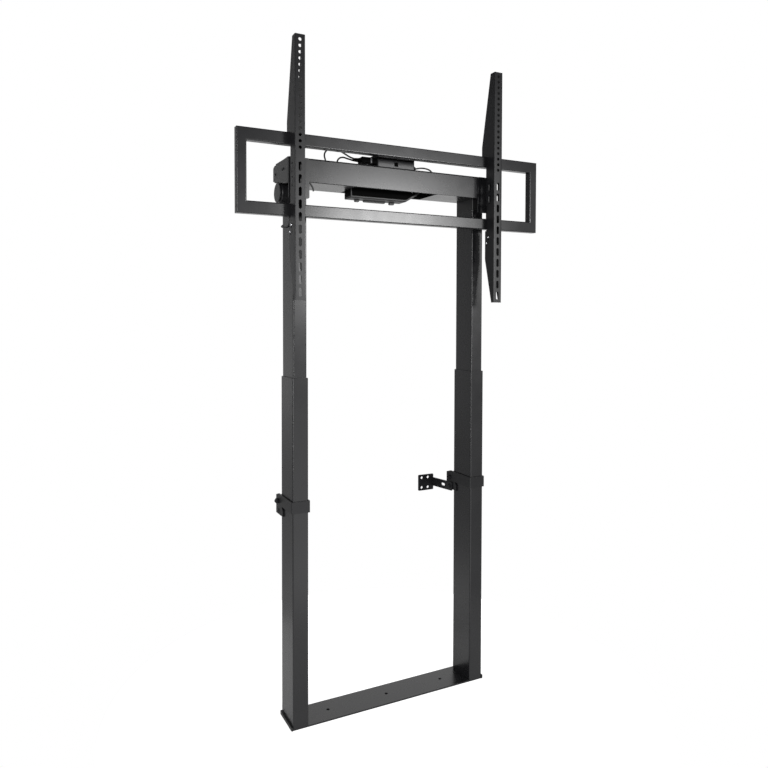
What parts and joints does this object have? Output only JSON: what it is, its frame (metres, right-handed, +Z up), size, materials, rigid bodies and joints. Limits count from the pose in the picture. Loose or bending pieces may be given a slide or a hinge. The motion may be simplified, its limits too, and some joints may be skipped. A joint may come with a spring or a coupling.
{
  "type": "motorized tv stand",
  "caption": "Floor-standing motorized TV lift: telescopic columns on a base plate raise a drive beam with a rail frame, sliding perforated TV brackets and hinged wall clamps.",
  "frame": {"origin": "middle of the base plate's underside, on the floor, in the axis of the plate's middle hole", "axes": "+Z up, +X to the right and -Y to the viewer as seen from the TV's side"},
  "size_m": [0.882, 0.281, 1.727],
  "materials": {
    "black_steel": "black powder coat, satin",
    "black_plastic": "fine matte",
    "guide_plastic": "smooth sliding plastic",
    "motor_metal": "black paint, satin",
    "black_bolts": "blackened steel",
    "bare_steel": "turned, oiled",
    "brass": "machined",
    "zinc": "bright zinc",
    "cord": "smooth jacket"
  },
  "bodies": {
    "base": {"base_plate": "black_steel", "base_end_trim": "black_plastic", "outer_tube_left": "black_steel", "guide_bush_left": "guide_plastic", "push_tube_left": "bare_steel", "spindle_nut_left": "brass", "outer_tube_right": "black_steel", "guide_bush_right": "guide_plastic", "push_tube_right": "bare_steel", "spindle_nut_right": "brass"},
    "carriage": {"drive_beam": "black_steel", "rail_top": "black_steel", "rail_bottom": "black_steel", "beam_bolts": "black_bolts", "gear_case_screws": "black_bolts", "control_box": "black_plastic", "control_lid": "black_plastic", "control_plugs": "black_plastic", "power_unit": "black_plastic", "power_unit_feet": "black_plastic", "motor_lead_left": "cord", "motor_lead_right": "cord", "power_lead": "cord", "inner_tube_left": "black_steel", "slide_shoe_left": "guide_plastic", "gear_case_left": "black_plastic", "motor_left": "motor_metal", "beam_end_plate_left": "black_steel", "mount_plate_left": "black_steel", "frame_end_left": "black_steel", "frame_upright_left": "black_steel", "inner_tube_right": "black_steel", "slide_shoe_right": "guide_plastic", "gear_case_right": "black_plastic", "motor_right": "motor_metal", "beam_end_plate_right": "black_steel", "mount_plate_right": "black_steel", "frame_end_right": "black_steel", "frame_upright_right": "black_steel"},
    "screw_left": {"lead_screw_left": "bare_steel", "worm_wheel_left": "brass"},
    "worm_left": {"worm_left": "bare_steel"},
    "bracket_left": {"tv_bracket_left": "black_steel", "lock_plate_left": "black_steel", "lock_screws_left": "zinc"},
    "clamp_left": {"clamp_strap_left": "black_steel", "clamp_back_left": "black_steel", "clamp_bolts_left": "black_bolts"},
    "arm_left": {"wall_arm_left": "black_steel"},
    "screw_right": {"lead_screw_right": "bare_steel", "worm_wheel_right": "brass"},
    "worm_right": {"worm_right": "bare_steel"},
    "bracket_right": {"tv_bracket_right": "black_steel", "lock_plate_right": "black_steel", "lock_screws_right": "zinc"},
    "clamp_right": {"clamp_strap_right": "black_steel", "clamp_back_right": "black_steel", "clamp_bolts_right": "black_bolts"},
    "arm_right": {"wall_arm_right": "black_steel"}
  },
  "joints": [
    {"name": "lift", "type": "slide", "parent": "base", "child": "carriage", "axis": [0, 0, 1], "range_m": [-0.38, 0.06]},
    {"name": "screw_turn_left", "type": "hinge", "parent": "carriage", "child": "screw_left", "pos_m": [-0.268, 0, 1.1], "axis": [0, 0, 1], "range_deg": [-8560, 1360]},
    {"name": "worm_turn_left", "type": "hinge", "parent": "carriage", "child": "worm_left", "pos_m": [-0.268, 0.0205, 1.374], "axis": [1, 0, 0], "range_deg": [-16210, 102610]},
    {"name": "screw_turn_right", "type": "hinge", "parent": "carriage", "child": "screw_right", "pos_m": [0.268, 0, 1.1], "axis": [0, 0, 1], "range_deg": [-8560, 1360]},
    {"name": "worm_turn_right", "type": "hinge", "parent": "carriage", "child": "worm_right", "pos_m": [0.268, 0.0205, 1.374], "axis": [1, 0, 0], "range_deg": [-102610, 16210]},
    {"name": "bracket_slide_left", "type": "slide", "parent": "carriage", "child": "bracket_left", "axis": [1, 0, 0], "range_m": [-0.13, 0.19]},
    {"name": "bracket_slide_right", "type": "slide", "parent": "carriage", "child": "bracket_right", "axis": [1, 0, 0], "range_m": [-0.17, 0.145]},
    {"name": "clamp_slide_left", "type": "slide", "parent": "base", "child": "clamp_left", "axis": [0, 0, 1], "range_m": [-0.42, 0.25]},
    {"name": "arm_swing_left", "type": "hinge", "parent": "clamp_left", "child": "arm_left", "pos_m": [-0.2414, 0.058, 0.5405], "axis": [1, 0, 0], "range_deg": [-85, 24]},
    {"name": "clamp_slide_right", "type": "slide", "parent": "base", "child": "clamp_right", "axis": [0, 0, 1], "range_m": [-0.428, 0.242]},
    {"name": "arm_swing_right", "type": "hinge", "parent": "clamp_right", "child": "arm_right", "pos_m": [0.2414, 0.058, 0.5485], "axis": [1, 0, 0], "range_deg": [-85, 24]}
  ],
  "couplings": [
    {"joint": "screw_turn_left", "follows": "lift", "rad_per_m": 392.7},
    {"joint": "worm_turn_left", "follows": "lift", "rad_per_m": -4712.4},
    {"joint": "screw_turn_right", "follows": "lift", "rad_per_m": 392.7},
    {"joint": "worm_turn_right", "follows": "lift", "rad_per_m": 4712.4}
  ]
}
